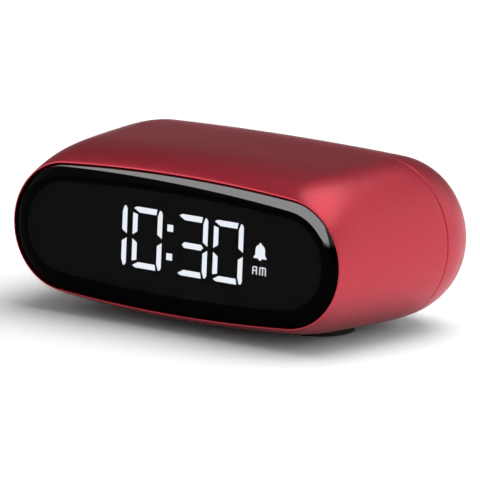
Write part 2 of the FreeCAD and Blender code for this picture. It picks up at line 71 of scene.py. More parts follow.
# How near corners are joined, and how short an edge is dropped, in metres.
CAP_JOIN = 1e-7
CAP_DROP = 1e-8
SIGN_JOIN = 2e-7
SIGN_DROP = 1e-6
BAR_JOIN = 1e-6


def placed(point: Vector) -> Vector:
    """Move a point of the drawing into the frame.

    Args:
        point: A place in millimetres from the middle of the lens.

    Returns:
        The same place in metres from the middle of the foot.
    """
    return (point - DRAWING_ORIGIN) * MM


class Slot(Enum):
    """The record's material slots that new pieces use."""

    SHELL = "red_shell"
    LENS = "smoked_lens"
    PLASTIC = "black_plastic"
    LIGHT = "light_pipe"


class Segment(Enum):
    """The bars of a digit, with the way from its middle in half widths and half heights."""

    A = (0.0, 1.0)
    B = (1.0, 0.5)
    C = (1.0, -0.5)
    D = (0.0, -1.0)
    E = (-1.0, -0.5)
    F = (-1.0, 0.5)
    G = (0.0, 0.0)


# Shared effects

def new_group(name: str, inputs: list[tuple[str, float]],
              outputs: list[str]) -> tuple[Tree, Node, Node]:
    """Start a shader node group.

    Args:
        name: The group's name.
        inputs: Name and first value of each input.
        outputs: Name of each output.

    Returns:
        The group, its input node and its output node.
    """
    group = bpy.data.node_groups.new(name, "ShaderNodeTree")
    for label, value in inputs:
        socket = group.interface.new_socket(label, in_out="INPUT", socket_type="NodeSocketFloat")
        socket.default_value = value
    for label in outputs:
        group.interface.new_socket(label, in_out="OUTPUT", socket_type="NodeSocketFloat")
    return group, group.nodes.new("NodeGroupInput"), group.nodes.new("NodeGroupOutput")


def noise(tree: Tree, scale: Socket, detail: float) -> Node:
    """Add a noise texture on the object's own coordinates.

    Args:
        tree: The tree that gets the node.
        scale: The socket that gives its scale.
        detail: How many finer octaves it has.

    Returns:
        The noise node.
    """
    place = tree.nodes.new("ShaderNodeTexCoord")
    made = tree.nodes.new("ShaderNodeTexNoise")
    made.inputs["Detail"].default_value = detail
    tree.links.new(place.outputs["Object"], made.inputs["Vector"])
    tree.links.new(scale, made.inputs["Scale"])
    return made


def ramp(tree: Tree, value: Socket, span: Point, levels: Point = (0.0, 1.0),
         kind: str = "SMOOTHSTEP") -> Socket:
    """Add a step from one level to another.

    Args:
        tree: The tree that gets the node.
        value: The socket that drives it.
        span: Where it starts and ends.
        levels: Its level before and after.
        kind: Its interpolation.

    Returns:
        Its output socket.
    """
    made = tree.nodes.new("ShaderNodeMapRange")
    made.interpolation_type = kind
    for label, number in zip(("From Min", "From Max", "To Min", "To Max"), (*span, *levels)):
        made.inputs[label].default_value = number
    tree.links.new(value, made.inputs["Value"])
    return made.outputs["Result"]


def worked_out(tree: Tree, operation: str, first: Socket, second: Socket | float) -> Socket:
    """Add a math node.

    Args:
        tree: The tree that gets the node.
        operation: What it does.
        first: Its first socket.
        second: Its second socket, or a number.

    Returns:
        Its output socket.
    """
    made = tree.nodes.new("ShaderNodeMath")
    made.operation = operation
    tree.links.new(first, made.inputs[0])
    if isinstance(second, float):
        made.inputs[1].default_value = second
    else:
        tree.links.new(second, made.inputs[1])
    return made.outputs[0]


def blended(tree: Tree, share: Socket, under: Socket | Colour, over: Colour) -> Socket:
    """Mix a plain colour over another.

    Args:
        tree: The tree that gets the node.
        share: The socket that says how much of it shows.
        under: The colour under it, or the socket that gives it.
        over: The plain colour.

    Returns:
        The socket of the mixed colour.
    """
    mix = tree.nodes.new("ShaderNodeMix")
    mix.data_type = "RGBA"
    mix.inputs[MIX_COLOUR_OVER].default_value = (*over, 1.0)
    if isinstance(under, tuple):
        mix.inputs[MIX_COLOUR_UNDER].default_value = (*under, 1.0)
    else:
        tree.links.new(under, mix.inputs[MIX_COLOUR_UNDER])
    tree.links.new(share, mix.inputs[MIX_SHARE])
    return mix.outputs[MIXED_COLOUR]


def surface_grain_group() -> Tree:
    """Build the moulded grain: a mask for colour, a roughness that varies and a height.

    Returns:
        The node group.
    """
    group, given, result = new_group(
        "SurfaceGrain",
        [("Scale", 900.0), ("Cloud Scale", 60.0), ("Roughness Low", 0.3), ("Roughness High", 0.5)],
        ["Mask", "Roughness", "Height"])
    fine = noise(group, given.outputs["Scale"], 3.0)
    cloud = noise(group, given.outputs["Cloud Scale"], 2.0)
    spread = group.nodes.new("ShaderNodeMapRange")
    links = group.links
    links.new(cloud.outputs["Fac"], spread.inputs["Value"])
    links.new(given.outputs["Roughness Low"], spread.inputs["To Min"])
    links.new(given.outputs["Roughness High"], spread.inputs["To Max"])
    links.new(cloud.outputs["Fac"], result.inputs["Mask"])
    links.new(spread.outputs["Result"], result.inputs["Roughness"])
    links.new(fine.outputs["Fac"], result.inputs["Height"])
    return group


def metal_fleck_group() -> Tree:
    """Build the flecks of a metallic moulding: a mask of bright specks and a height that tilts them.

    Returns:
        The node group.
    """
    group, given, result = new_group("MetalFleck", [("Fleck Scale", 5000.0)], ["Mask", "Height"])
    place = group.nodes.new("ShaderNodeTexCoord")
    cells = group.nodes.new("ShaderNodeTexVoronoi")
    links = group.links
    links.new(place.outputs["Object"], cells.inputs["Vector"])
    links.new(given.outputs["Fleck Scale"], cells.inputs["Scale"])
    split = group.nodes.new("ShaderNodeSeparateColor")
    links.new(cells.outputs["Color"], split.inputs["Color"])
    links.new(split.outputs["Red"], result.inputs["Mask"])
    links.new(split.outputs["Green"], result.inputs["Height"])
    return group


GRAIN = surface_grain_group()
FLECK = metal_fleck_group()


@dataclass(frozen=True)
class Finish:
    """A plain moulded, printed or metal surface with its grain."""

    name: str
    colour: Colour
    cloud: Colour
    rough: Point = (0.35, 0.5)
    metallic: float = 0.0
    grain: float = 900.0
    cloud_scale: float = 60.0
    bump: float = 0.15
    bump_depth: float = 0.00002
    specular: float = 0.5
    coat: float = 0.0
    coat_rough: float = 0.1

    def build(self) -> bpy.types.Material:
        """Make the material.

        Returns:
            The material, ready for a kind of finish to add to.
        """
        material = bpy.data.materials.new(self.name)
        material.use_nodes = True
        tree = material.node_tree
        shader = tree.nodes["Principled BSDF"]
        grain = tree.nodes.new("ShaderNodeGroup")
        grain.node_tree = GRAIN
        for label, value in (("Metallic", self.metallic), ("Specular IOR Level", self.specular),
                             ("Coat Weight", self.coat), ("Coat Roughness", self.coat_rough)):
            shader.inputs[label].default_value = value
        for label, value in (("Scale", self.grain), ("Cloud Scale", self.cloud_scale),
                             ("Roughness Low", self.rough[0]), ("Roughness High", self.rough[1])):
            grain.inputs[label].default_value = value
        bump = tree.nodes.new("ShaderNodeBump")
        bump.inputs["Strength"].default_value = self.bump
        bump.inputs["Distance"].default_value = self.bump_depth
        links = tree.links
        colour = blended(tree, grain.outputs["Mask"], self.colour, self.cloud)
        links.new(colour, shader.inputs["Base Color"])
        links.new(grain.outputs["Roughness"], shader.inputs["Roughness"])
        links.new(grain.outputs["Height"], bump.inputs["Height"])
        links.new(bump.outputs["Normal"], shader.inputs["Normal"])
        return material


@dataclass(frozen=True)
class MetallicMoulding(Finish):
    """Satin plastic moulded with metal flecks, under a clear skin; to bounced light its colour turns
    dark grey, painted shade that deepens the shadow it casts on the floor.
    """

    fleck: Colour = (0.86, 0.045, 0.08)
    edge_tint: Colour = (1.0, 0.6, 0.65)
    skin_ior: float = 1.65
    fleck_scale: float = 6800.0
    fleck_share: float = 0.5
    fleck_from: float = 0.5
    # The colour that bounced light sees: painted shade that deepens the shadow under the case.
    bounce_shade_grey: float = 0.03

    def build(self) -> bpy.types.Material:
        """Make the material: the plain finish with flecks mixed over its colour and height, turned dark
        grey for bounced light as painted shade.

        Returns:
            The material.
        """
        material = super().build()
        tree = material.node_tree
        links = tree.links
        shader = tree.nodes["Principled BSDF"]
        shader.inputs["Specular Tint"].default_value = (*self.edge_tint, 1.0)
        shader.inputs["Coat IOR"].default_value = self.skin_ior
        flecks = tree.nodes.new("ShaderNodeGroup")
        flecks.node_tree = FLECK
        flecks.inputs["Fleck Scale"].default_value = self.fleck_scale
        under = shader.inputs["Base Color"].links[0].from_socket
        bright = ramp(tree, flecks.outputs["Mask"], (self.fleck_from, 1.0),
                      (0.0, self.fleck_share), "LINEAR")
        colour = blended(tree, bright, under, self.fleck)
        # Painted shade: to bounced light the colour turns dark grey, so the floor under the shell gets
        # a deeper shadow with no red in it.
        path = tree.nodes.new("ShaderNodeLightPath")
        shaded_for_bounces = blended(tree, path.outputs["Is Diffuse Ray"], colour, (self.bounce_shade_grey,) * 3)
        links.new(shaded_for_bounces, shader.inputs["Base Color"])
        bump = shader.inputs["Normal"].links[0].from_node
        fine = bump.inputs["Height"].links[0].from_socket
        links.new(worked_out(tree, "ADD", fine, flecks.outputs["Height"]), bump.inputs["Height"])
        return material


@dataclass(frozen=True)
class SmokedLens(Finish):
    """Dark tinted acrylic that lets a share of light straight through."""

    cover: float = 0.75
    ior: float = 1.49

    def build(self) -> bpy.types.Material:
        """Make the material.

        Returns:
            The material.
        """
        material = super().build()
        shader = material.node_tree.nodes["Principled BSDF"]
        shader.inputs["Alpha"].default_value = self.cover
        shader.inputs["IOR"].default_value = self.ior
        return material


@dataclass(frozen=True)
class LensEdge(SmokedLens):
    """The rolled edge of the lens, with a glossy coat along its upper turn.

    The coat widens from the left end to the right: a turn is the slope at which it stops.
    """

    turn_left: Point = (-0.042, 1.15)
    turn_right: Point = (0.042, 5.0)
    turn_soft: float = 0.25
    outer_turn: Point = (0.62, 0.68)
    gloss_height: Point = (0.0250, 0.0268)
    coat_ior: float = 2.4

    def build(self) -> bpy.types.Material:
        """Make the material: the tinted acrylic with a coat along the upper turn of the edge.

        Returns:
            The material.
        """
        material = super().build()
        tree = material.node_tree
        links = tree.links
        shader = tree.nodes["Principled BSDF"]
        shader.inputs["Coat IOR"].default_value = self.coat_ior
        place = tree.nodes.new("ShaderNodeTexCoord")
        spot = tree.nodes.new("ShaderNodeSeparateXYZ")
        way = tree.nodes.new("ShaderNodeSeparateXYZ")
        links.new(place.outputs["Object"], spot.inputs[0])
        links.new(place.outputs["Normal"], way.inputs[0])
        facing = worked_out(tree, "MULTIPLY", way.outputs["Y"], -1.0)
        limit = ramp(tree, spot.outputs["X"], (self.turn_left[0], self.turn_right[0]),
                     (self.turn_left[1], self.turn_right[1]), "LINEAR")
        square = worked_out(tree, "MULTIPLY", facing, facing)
        aside = worked_out(tree, "ADD", worked_out(tree, "MULTIPLY", square, -1.0), JUST_OVER_ONE)
        slope = worked_out(tree, "DIVIDE", facing, worked_out(tree, "POWER", aside, 0.5))
        inner = ramp(tree, worked_out(tree, "SUBTRACT", limit, slope), (0.0, self.turn_soft))
        outer = ramp(tree, facing, self.outer_turn)
        high = ramp(tree, spot.outputs["Z"], self.gloss_height)
        both = worked_out(tree, "MULTIPLY", inner, outer)
        links.new(worked_out(tree, "MULTIPLY", both, high), shader.inputs["Coat Weight"])
        return material


@dataclass(frozen=True)
class LitPipe(Finish):
    """A light pipe with its LED on."""

    glow: float = 1.0

    def build(self) -> bpy.types.Material:
        """Make the material: the glow falls off a little in soft clouds.

        Returns:
            The material.
        """
        material = super().build()
        shader = material.node_tree.nodes["Principled BSDF"]
        shader.inputs["Emission Strength"].default_value = self.glow
        under = shader.inputs["Base Color"].links[0].from_socket
        material.node_tree.links.new(under, shader.inputs["Emission Color"])
        return material


FINISHES: tuple[Finish, ...] = (
    MetallicMoulding("red_shell", (0.60, 0.014, 0.040), (0.64, 0.018, 0.046), (0.42, 0.46),
                     metallic=1.0, grain=3000.0, cloud_scale=40.0, bump=0.12,
                     coat=0.75, coat_rough=0.3),
    SmokedLens("smoked_lens", (0.002, 0.0015, 0.0015), (0.003, 0.002, 0.002), (0.03, 0.06),
               cloud_scale=30.0, bump=0.0, specular=0.08),
    LensEdge("lens_edge", (0.0004, 0.0003, 0.0003), (0.0006, 0.0004, 0.0004), (0.04, 0.07),
             cloud_scale=30.0, bump=0.0, specular=0.02, coat_rough=0.03, cover=1.0),
    Finish("mask_ink", (0.004, 0.0035, 0.0035), (0.006, 0.005, 0.005), (0.5, 0.6), bump=0.0),
    Finish("black_foam", (0.012, 0.012, 0.013), (0.03, 0.03, 0.03), (0.8, 0.95),
           grain=2500.0, bump=0.6, bump_depth=0.0001),
    Finish("black_plastic", (0.012, 0.011, 0.012), (0.02, 0.018, 0.019), (0.38, 0.5)),
    Finish("switch_body", (0.02, 0.02, 0.022), (0.03, 0.03, 0.03), (0.45, 0.6)),
    Finish("light_pipe", (0.02, 0.02, 0.021), (0.03, 0.03, 0.03), (0.3, 0.4)),
    Finish("led_chip", (0.6, 0.5, 0.2), (0.8, 0.72, 0.35), (0.3, 0.4)),
    Finish("board", (0.008, 0.07, 0.03), (0.012, 0.1, 0.045), (0.3, 0.42), cloud_scale=300.0),
    Finish("chip", (0.01, 0.01, 0.011), (0.018, 0.018, 0.018), (0.4, 0.55)),
    Finish("socket", (0.62, 0.6, 0.52), (0.7, 0.68, 0.6), (0.4, 0.5)),
    Finish("cable", (0.55, 0.56, 0.57), (0.62, 0.63, 0.64), (0.4, 0.55)),
    Finish("metal_can", (0.5, 0.5, 0.5), (0.62, 0.62, 0.62), (0.25, 0.35), metallic=1.0),
    Finish("steel", (0.42, 0.42, 0.43), (0.55, 0.55, 0.56), (0.28, 0.4), metallic=1.0),
    Finish("cell_wrap", (0.08, 0.16, 0.4), (0.1, 0.2, 0.46), (0.35, 0.45)),
    Finish("copper", (0.72, 0.32, 0.18), (0.8, 0.38, 0.22), (0.3, 0.42), metallic=1.0),
    Finish("rubber", (0.03, 0.03, 0.03), (0.045, 0.045, 0.045), (0.7, 0.85),
           grain=1800.0, bump=0.4, bump_depth=0.00005),
    LitPipe("lit_pipe", (0.86, 0.92, 1.0), (0.90, 0.94, 1.0), (0.3, 0.4), bump=0.0, glow=14.8),
    LitPipe("lit_sign", (0.86, 0.92, 1.0), (0.90, 0.94, 1.0), (0.3, 0.4), bump=0.0, glow=12.5),
    Finish("legend_ink", (0.75, 0.75, 0.75), (0.82, 0.82, 0.82), (0.5, 0.6)),
)
MATERIALS: dict[str, bpy.types.Material] = {finish.name: finish.build() for finish in FINISHES}

NODE_FINISH: dict[str, str] = {
    "front_shell": "red_shell", "rear_cover": "red_shell", "front_lens": "smoked_lens",
    "lens_gasket": "black_foam", "sounder_gasket": "black_foam", "battery_tape": "black_foam",
    "display_reflector": "black_plastic", "battery_plug": "socket",
    "digit_1": "light_pipe", "digit_2": "light_pipe", "digit_3": "light_pipe", "digit_4": "light_pipe",
    "colon_dots": "lit_pipe", "bell_light": "lit_pipe", "am_light": "light_pipe",
    "display_leds": "led_chip", "display_board": "board", "control_board": "board",
    "driver_chip": "chip", "controller_chip": "chip", "display_socket": "socket",
    "control_socket": "socket", "ribbon_cable": "cable",
    "clock_crystal": "metal_can", "sounder": "black_plastic", "usb_socket": "steel",
    "tact_switches": "switch_body", "slide_switch": "metal_can", "slide_knob": "black_plastic",
    "time_button": "black_plastic", "alarm_button": "black_plastic", "minus_button": "black_plastic",
    "plus_button": "black_plastic", "battery_cell": "cell_wrap", "battery_leads": "cable",
    "touch_foil": "copper", "touch_lead": "copper", "rubber_foot": "rubber",
}


# Meshes

def mesh_piece(name: str, points: list[Vector], faces: list[tuple[int, ...]],
               finish: str) -> bpy.types.Object:
    """Make a piece from points of the drawing.

    Args:
        name: The piece's name.
        points: Its corners, in millimetres of the drawing.
        faces: The corners of each face.
        finish: The name of its finish.

    Returns:
        The piece, smooth but for its sharp edges, with its faces turned outwards.
    """
    mesh = bpy.data.meshes.new(name)
    mesh.from_pydata([placed(p) for p in points], [], faces)
    shaped = bmesh.new()
    shaped.from_mesh(mesh)
    bmesh.ops.recalc_face_normals(shaped, faces=shaped.faces)
    shaped.to_mesh(mesh)
    shaped.free()
    return dressed(name, mesh, finish)


def dressed(name: str, mesh: bpy.types.Mesh, finish: str) -> bpy.types.Object:
    """Link a mesh as a piece, with smooth shading and its finish.

    Args:
        name: The piece's name.
        mesh: Its mesh, in the frame's metres.
        finish: The name of its finish.

    Returns:
        The piece.
    """
    mesh.shade_smooth()
    mesh.set_sharp_from_angle(angle=SHARP_ANGLE)
    mesh.materials.clear()
    mesh.materials.append(MATERIALS[finish])
    piece = bpy.data.objects.new(name, mesh)
    bpy.context.scene.collection.objects.link(piece)
    return piece


def loft(name: str, rings: list[list[Vector]], finish: str, closed: bool = False) -> bpy.types.Object:
    """Skin a run of rings that all have the same number of points.

    Args:
        name: The piece's name.
        rings: The rings in order.
        finish: The name of its finish.
        closed: Join the last ring to the first; otherwise both ends are filled flat.

    Returns:
        The piece.
    """
    count = len(rings[0])
    points = [p for ring in rings for p in ring]
    pairs = list(zip(range(len(rings)), range(1, len(rings))))
    if closed:
        pairs.append((len(rings) - 1, 0))
    faces: list[tuple[int, ...]] = []
    for a, b in pairs:
        for i in range(count):
            j = (i + 1) % count
            faces.append((a * count + i, a * count + j, b * count + j, b * count + i))
    if not closed:
        faces.append(tuple(range(count)))
        faces.append(tuple(range((len(rings) - 1) * count, len(rings) * count)))
    return mesh_piece(name, points, faces, finish)


def cut_away(piece: bpy.types.Object, cutters: list[bpy.types.Object], finish: str) -> bpy.types.Object:
    """Cut other solids out of a piece and drop them.

    Args:
        piece: The piece to cut.
        cutters: The solids to take away.
        finish: The name of the piece's finish.

    Returns:
        The piece, with its new mesh.
    """
    for cutter in cutters:
        cut = piece.modifiers.new("cut", "BOOLEAN")
        cut.operation = "DIFFERENCE"
        cut.solver = "EXACT"
        cut.object = cutter
    bpy.context.view_layer.update()
    seen = piece.evaluated_get(bpy.context.evaluated_depsgraph_get())
    mesh = bpy.data.meshes.new_from_object(seen)
    name = piece.name
    for gone in [piece, *cutters]:
        bpy.data.objects.remove(gone)
    mesh.name = name
    return dressed(name, mesh, finish)


END_STEPS = 56
FLAT_STEPS = 36


def oval(half_w: float, half_h: float, end_r: float) -> list[Point]:
    """Points round an oval of four tangent arcs, from the middle of its right end.

    Args:
        half_w: Half its width.
        half_h: Half its height.
        end_r: The radius of its two ends.

    Returns:
        Places as (x, z), the same number for every oval.
    """
    flat_r = ((half_w - end_r) ** 2 + half_h ** 2 - end_r ** 2) / (2 * (half_h - end_r))
    join = math.acos((half_w - end_r) / (flat_r - end_r))
    upper: list[Point] = []
    for i in range(END_STEPS // 2):
        turn = join * i / (END_STEPS // 2)
        upper.append((half_w - end_r + end_r * math.cos(turn), end_r * math.sin(turn)))
    for i in range(FLAT_STEPS // 2):
        turn = join + (math.pi / 2 - join) * i / (FLAT_STEPS // 2)
        upper.append((flat_r * math.cos(turn), flat_r * math.sin(turn) - flat_r + half_h))
    left = [(0.0, half_h)] + [(-x, z) for x, z in reversed(upper[1:])]
    lower = [(-x, -z) for x, z in upper + left]
    return upper + left + lower


def shoulder(share: float, power: float) -> float:
    """How far the rear shoulder has closed, from 0 where it starts to 1 at the back."""
    share = min(max(share, 0.0), 1.0)
    return 1 - (1 - share ** power) ** (1 / power)


@dataclass
class CaseForm:
    """The case's form, from the lens to the back, as the drawing has it."""

    lens_half_w: float = 45.3
    lens_half_h: float = 15.9
    lens_end_share: float = 0.92
    rim_land: float = 0.24
    body_half_w: float = 50.0
    body_half_h: float = 19.638
    body_end_share: float = 0.97
    depth: float = 54.6
    back_trim: float = 0.6
    wide_at: float = 40.7
    tall_at: float = 23.4
    flare_w: float = 1.38
    flare_h: float = 4.6
    back_half_w: float = 28.8
    back_half_h: float = 3.5
    shoulder_w: float = 23.8
    shoulder_h: float = 27.0
    shoulder_power_w: float = 2.77
    shoulder_power_h: float = 2.96
    body_rise: float = 0.57
    back_drop: float = 0.76
    face_tilt: float = 1.8

    def section(self, y: float, inset: float) -> list[Vector]:
        """The case's cross-section at a depth.

        Args:
            y: The depth behind the lens.
            inset: How far it is drawn in from the outside.

        Returns:
            The ring's points in the drawing.
        """
        open_w = max(1 - y / self.wide_at, 0.0) ** self.flare_w
        open_h = max(1 - y / self.tall_at, 0.0) ** self.flare_h
        grow_w = self.body_half_w - self.lens_half_w - self.rim_land
        grow_h = self.body_half_h - self.lens_half_h - self.rim_land
        half_w = self.body_half_w - grow_w * open_w - inset
        half_h = self.body_half_h - grow_h * open_h - inset
        to_back = self.depth - inset - y
        close_w = shoulder(1 - to_back / (self.shoulder_w - inset), self.shoulder_power_w)
        close_h = shoulder(1 - to_back / (self.shoulder_h - inset), self.shoulder_power_h)
        half_w -= (self.body_half_w - inset - self.back_half_w) * close_w
        half_h -= (self.body_half_h - inset - self.back_half_h) * close_h
        middle = self.body_rise * (1 - open_h) - (self.body_rise + self.back_drop) * close_h
        end_share = self.lens_end_share
        end_share += (self.body_end_share - self.lens_end_share) * min(y / self.wide_at, 1.0)
        lean = Matrix.Rotation(math.radians(-self.face_tilt * (1 - y / self.depth)), 3, "X")
        ring = oval(half_w, half_h, end_share * half_h)
        return [lean @ Vector((x, 0.0, z + middle)) + Vector((0.0, y, 0.0)) for x, z in ring]

    def face_ring(self, inset: float, y: float) -> list[Vector]:
        """The outline of the lens opening at a depth behind the leaning face.

        Args:
            inset: How far it is drawn in.
            y: The depth behind the face, along its own lean.

        Returns:
            The ring's points in the drawing.
        """
        end_r = self.lens_end_share * self.lens_half_h - inset
        return self.leant(oval(self.lens_half_w - inset, self.lens_half_h - inset, end_r), y)

    def leant(self, outline: list[Point], y: float) -> list[Vector]:
        """Put an outline at a depth behind the leaning face.

        Args:
            outline: Its points as (x, z).
            y: The depth behind the face, along its own lean.

        Returns:
            The points in the drawing.
        """
        lean = Matrix.Rotation(math.radians(-self.face_tilt), 3, "X")
        return [lean @ Vector((x, y, z)) for x, z in outline]


def steps(start: float, end: float, count: int) -> list[float]:
    """Even steps from start to end, both counted in."""
    return [start + (end - start) * i / (count - 1) for i in range(count)]


def quarter(count: int) -> list[Point]:
    """Points of a quarter turn as (how far out, how far along), each from 0 to 1."""
    return [(1 - math.cos(a), math.sin(a)) for a in steps(0.0, math.pi / 2, count)]


@dataclass
class Case:
    """The two mouldings of the case and the lens between them."""

    form: CaseForm
    wall: float = 2.0
    rim_round: float = 0.12
    seam_y: float = 35.9
    seam_gap: float = 0.16
    seam_round: float = 0.08
    lip_length: float = 3.0
    lip_wall: float = 1.0
    lip_gap: float = 0.15
    lip_root: float = 2.5
    ledge_y: float = 3.5
    ledge_w: float = 3.0
    ledge_thick: float = 1.5
    lens_gap: float = 0.08
    lens_proud: float = 0.6
    lens_window: float = 2.4
    lens_skirt_w: float = 3.0
    lens_skirt: float = 3.6
    lens_edge_in: float = 4.2
    lens_edge_deep: float = 1.8
    lens_edge_steps: int = 22
    window_room: float = 0.05
    mask_half_w: float = 27.0
    mask_half_h: float = 9.1
    mask_corner: float = 8.0
    mask_thick: float = 0.08
    mask_gap: float = 0.06
    mask_room: float = 0.02
    foot_half_w: float = 31.0
    foot_half_d: float = 10.4
    foot_end_share: float = 0.88
    foot_y: float = 24.4
    foot_top: float = -18.17
    cut_reach: float = 5.0
    panel_half_w: float = 35.0
    panel_half_h: float = 7.5
    panel_end_share: float = 0.9
    panel_y: float = 53.2
    panel_wall: float = 2.0
    panel_round: float = 0.25
    panel_steps: int = 4
    rim_steps: int = 7
    front_turn: tuple[float, ...] = (0.3, 0.7, 1.0)
    rear_turn: tuple[Point, ...] = ((0.0, 0.0), (0.3, 0.7), (1.0, 1.0))
    round_room: float = 0.6
    ledge_room: float = 1.5
    seam_room: float = 1.0
    rear_room: float = 0.8
    lip_room: float = 0.3
    front_rings: int = 70
    front_wall_rings: int = 24
    rear_rings: int = 60
    rear_wall_rings: int = 30

    def front(self) -> bpy.types.Object:
        """Make the front moulding: outside, rim, lens seat and inside wall.

        Returns:
            The piece.
        """
        form = self.form
        rings = [form.section(self.seam_y, self.wall), form.section(self.seam_y, self.seam_round)]
        rings += [form.section(self.seam_y - self.seam_round * share, self.seam_round * (1 - share))
                  for share in self.front_turn]
        rings += [form.section(y, 0.0)
                  for y in steps(self.seam_y - self.round_room, self.rim_round + self.round_room,
                                 self.front_rings)]
        for out, up in quarter(self.rim_steps):
            rings.append(form.section(self.rim_round * (1 - up), self.rim_round * out))
        rings.append(form.face_ring(0.0, 0.0))
        rings.append(form.face_ring(0.0, self.ledge_y))
        rings.append(form.face_ring(self.ledge_w, self.ledge_y))
        rings.append(form.face_ring(self.ledge_w, self.ledge_y + self.ledge_thick))
        rings += [form.section(y, self.wall)
                  for y in steps(self.ledge_y + self.ledge_thick + self.ledge_room,
                                 self.seam_y - self.seam_room, self.front_wall_rings)]
        piece = loft("front_moulding", rings, "red_shell", closed=True)
        piece = cut_away(piece, [self.foot_cutter()], "red_shell")
        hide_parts("front_shell")
        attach(piece, "case")
        return piece

    def foot_cutter(self) -> bpy.types.Object:
        """The solid that leaves room for the rubber foot."""
        ring = oval(self.foot_half_w, self.foot_half_d, self.foot_end_share * self.foot_half_d)
        rings = [[Vector((x, self.foot_y + y, z)) for x, y in ring]
                 for z in (self.foot_top - self.cut_reach, self.foot_top)]
        return loft("foot_cutter", rings, "rubber")

    def panel_ring(self, margin: float, y: float) -> list[Vector]:
        """The outline of the control panel, grown by a margin, at a depth."""
        end_r = self.panel_end_share * self.panel_half_h + margin
        ring = oval(self.panel_half_w + margin, self.panel_half_h + margin, end_r)
        return [Vector((x, y, z)) for x, z in ring]

    def rear(self, openings: list[bpy.types.Object]) -> bpy.types.Object:
        """Make the rear moulding: panel recess, outside, lip and inside wall.

        Args:
            openings: The solids to cut out of the control panel.

        Returns:
            The piece.
        """
        form = self.form
        back_y = form.depth - form.back_trim
        start = self.seam_y + self.seam_gap
        rings = [self.panel_ring(0.0, self.panel_y), self.panel_ring(0.0, back_y - self.panel_round)]
        rings += [self.panel_ring(self.panel_round * out, back_y - self.panel_round * (1 - up))
                  for out, up in quarter(self.panel_steps)[1:]]
        depths = [back_y - (back_y - start - self.rear_room) * (1 - math.cos(t))
                  for t in steps(0.0, math.pi / 2, self.rear_rings)]
        rings += [form.section(y, 0.0) for y in depths]
        rings += [form.section(start + self.seam_round * (1 - up), self.seam_round * out)
                  for out, up in self.rear_turn]
        lip_out = self.wall + self.lip_gap
        lip_in = lip_out + self.lip_wall
        rings.append(form.section(start, lip_out))
        rings.append(form.section(self.seam_y - self.lip_length, lip_out))
        rings.append(form.section(self.seam_y - self.lip_length, lip_in))
        rings.append(form.section(self.seam_y + self.lip_root, lip_in))
        inner_y = self.panel_y - self.panel_wall
        rings += [form.section(y, self.wall) for y in steps(self.seam_y + self.lip_root + self.lip_room,
                                                            inner_y, self.rear_wall_rings)]
        piece = loft("rear_moulding", rings, "red_shell")
        piece = cut_away(piece, openings, "red_shell")
        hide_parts("rear_cover")
        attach(piece, "case")
        return piece

    def lens(self) -> bpy.types.Object:
        """Make the tinted lens: a window with a rolled edge and a skirt behind.

        Returns:
            The piece.
        """
        form = self.form
        back = self.lens_skirt - self.lens_proud
        rings = [form.face_ring(self.lens_gap + self.lens_edge_in + self.window_room, -self.lens_proud)]
        for out, up in reversed(quarter(self.lens_edge_steps)):
            rings.append(form.face_ring(self.lens_gap + self.lens_edge_in * out,
                                        -self.lens_proud + self.lens_edge_deep * (1 - up)))
        rings.append(form.face_ring(self.lens_gap, back))
        pocket = self.lens_gap + self.lens_skirt_w
        rings.append(form.face_ring(pocket, back))
        rings.append(form.face_ring(pocket, self.lens_window - self.lens_proud))
        piece = loft("lens_window", rings, "smoked_lens")
        piece.data.materials.append(MATERIALS["lens_edge"])
        count = len(rings[0])
        for polygon in piece.data.polygons[count:count * self.lens_edge_steps]:
            polygon.material_index = 1
        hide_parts("front_lens")
        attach(piece, "case")
        return piece

    def mask(self) -> bpy.types.Object:
        """Make the black mask behind the lens, open over the display.

        Returns:
            The piece.
        """
        form = self.form
        front = self.lens_window - self.lens_proud + self.mask_gap
        back = front + self.mask_thick
        outer = self.lens_gap + self.lens_skirt_w + self.mask_room
        opening = oval(self.mask_half_w, self.mask_half_h, self.mask_corner)
        rings = [form.face_ring(outer, front), form.face_ring(outer, back),
                 form.leant(opening, back), form.leant(opening, front)]
        piece = loft("lens_mask", rings, "mask_ink", closed=True)
        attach(piece, "case")
        return piece


